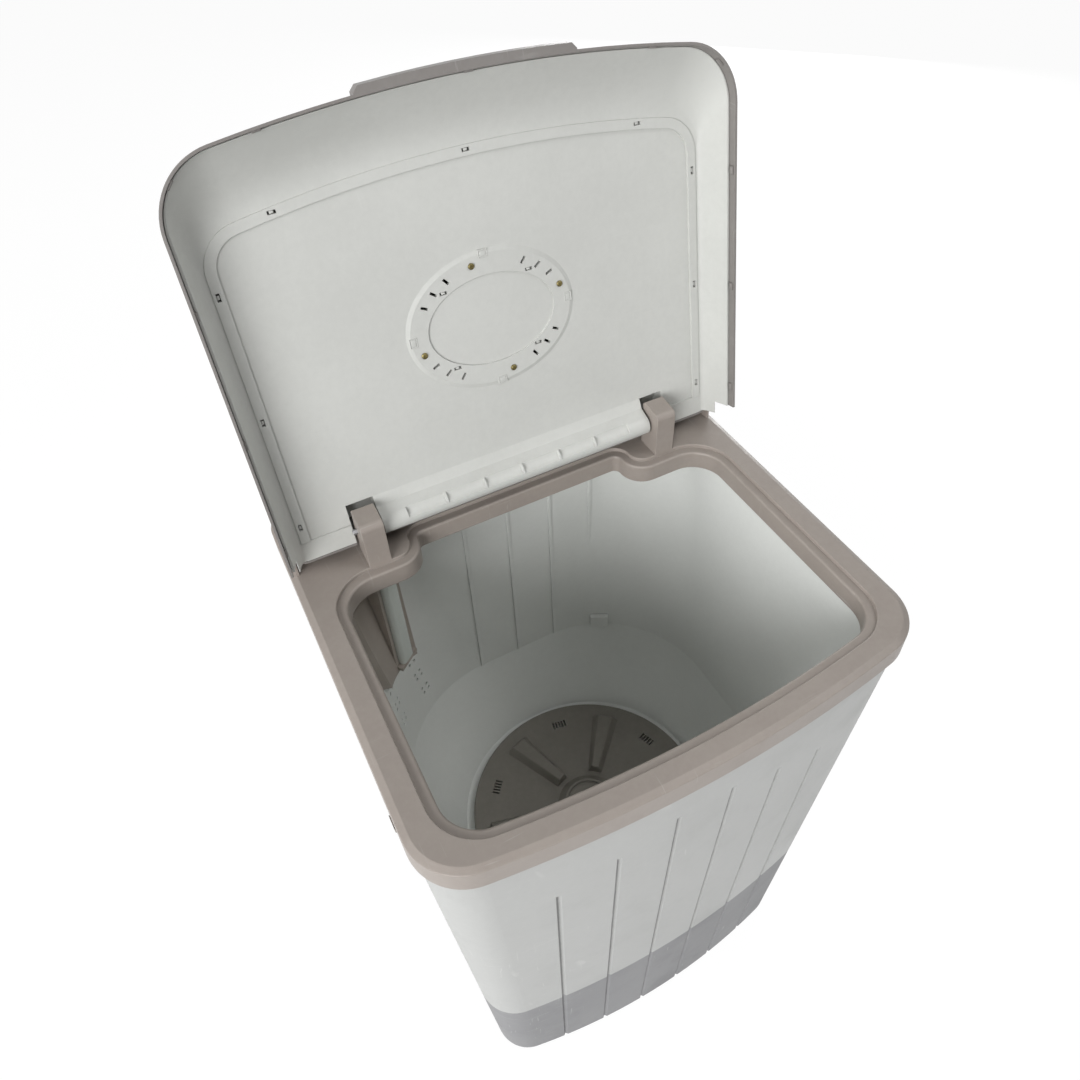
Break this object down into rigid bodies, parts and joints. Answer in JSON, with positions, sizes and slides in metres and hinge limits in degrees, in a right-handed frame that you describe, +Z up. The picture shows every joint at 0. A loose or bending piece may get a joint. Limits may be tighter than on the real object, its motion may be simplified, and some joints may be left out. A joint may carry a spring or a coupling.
{
  "type": "washing machine",
  "caption": "Free-standing top-loading washing machine with a bowed tapering cabinet, a deep tub with a finned pulsator, a hinged lid that stands open and a belt drive in the base.",
  "frame": {"origin": "floor point under the middle of the machine, at the underside of its feet", "axes": "+X to the right seen from the front, +Y to the back, +Z up; the lid is stored open"},
  "size_m": [0.491, 0.461, 1.0609],
  "materials": {
    "cabinet_grey": "satin",
    "base_grey": "satin",
    "taupe_plastic": "satin",
    "tub_grey": "semi-gloss",
    "liner_grey": "satin",
    "pulsator_grey": "satin",
    "filter_dark": "satin",
    "filter_gloss": "gloss",
    "console_grey": "satin",
    "panel_dark": "semi-gloss",
    "knob_grey": "satin",
    "steel": "machined",
    "brass": "plated",
    "bronze": "sintered",
    "cast_alloy": "die cast",
    "motor_paint": "painted",
    "motor_core": "laminated",
    "zinc_steel": "zinc plated",
    "capacitor_case": "gloss",
    "hose_grey": "satin",
    "black_plastic": "satin",
    "rubber_black": "matte",
    "belt_rubber": "matte"
  },
  "bodies": {
    "machine": {"cabinet_shell": "cabinet_grey", "base_tray": "base_grey", "rubber_feet": "rubber_black", "top_frame": "taupe_plastic", "wash_tub": "tub_grey", "filter_housing": "filter_dark", "bearing_housing": "cast_alloy", "upper_bush": "bronze", "lower_bush": "bronze", "shaft_seal": "rubber_black", "housing_bolts": "steel", "drive_belt": "belt_rubber", "motor_body": "motor_paint", "motor_stator": "motor_core", "motor_bracket": "zinc_steel", "motor_mounts": "rubber_black", "motor_bolts": "steel", "capacitor": "capacitor_case", "capacitor_clip": "zinc_steel", "drain_elbow": "hose_grey", "console_housing": "console_grey", "console_panel": "panel_dark", "timer_body": "black_plastic", "selector_switch": "black_plastic", "rear_cover": "base_grey", "rear_cover_screws": "steel", "cord_gland": "black_plastic", "hose_hook": "taupe_plastic"},
    "lid": {"lid_liner": "liner_grey", "lid_shell": "taupe_plastic", "scrub_plate": "taupe_plastic", "lid_screws": "brass", "lid_hinge_pins": "steel"},
    "wash_drive": {"pulsator": "pulsator_grey", "pulsator_cap": "pulsator_grey", "pulsator_screw": "steel", "drive_shaft": "steel", "driven_pulley": "cast_alloy", "pulley_nut": "steel"},
    "motor_drive": {"motor_rotor": "motor_core", "motor_pulley": "cast_alloy"},
    "timer": {"timer_knob": "knob_grey", "timer_spindle": "steel"},
    "selector": {"selector_knob": "knob_grey", "selector_spindle": "steel"},
    "filter": {"lint_filter": "filter_gloss"}
  },
  "joints": [
    {"name": "lid_hinge", "type": "hinge", "parent": "machine", "child": "lid", "pos_m": [0, 0.1225, 0.678], "axis": [1, 0, 0], "range_deg": [0, 100.5]},
    {"name": "pulsator_spin", "type": "hinge", "parent": "machine", "child": "wash_drive", "pos_m": [0, -0.0195, 0.196], "axis": [0, 0, 1], "continuous": true},
    {"name": "motor_spin", "type": "hinge", "parent": "machine", "child": "motor_drive", "pos_m": [0.11, 0.0905, 0.1], "axis": [0, 0, 1], "continuous": true},
    {"name": "timer_turn", "type": "hinge", "parent": "machine", "child": "timer", "pos_m": [0.116, 0.19556, 0.72], "axis": [0, 0, -1], "range_deg": [0, 300]},
    {"name": "selector_turn", "type": "hinge", "parent": "machine", "child": "selector", "pos_m": [-0.116, 0.19556, 0.72], "axis": [0, 0, -1], "range_deg": [-45, 45]},
    {"name": "filter_lift", "type": "slide", "parent": "machine", "child": "filter", "axis": [0, 0, 1], "range_m": [0, 0.05]}
  ],
  "couplings": [
    {"joint": "motor_spin", "follows": "pulsator_spin", "ratio": 5.4242}
  ]
}
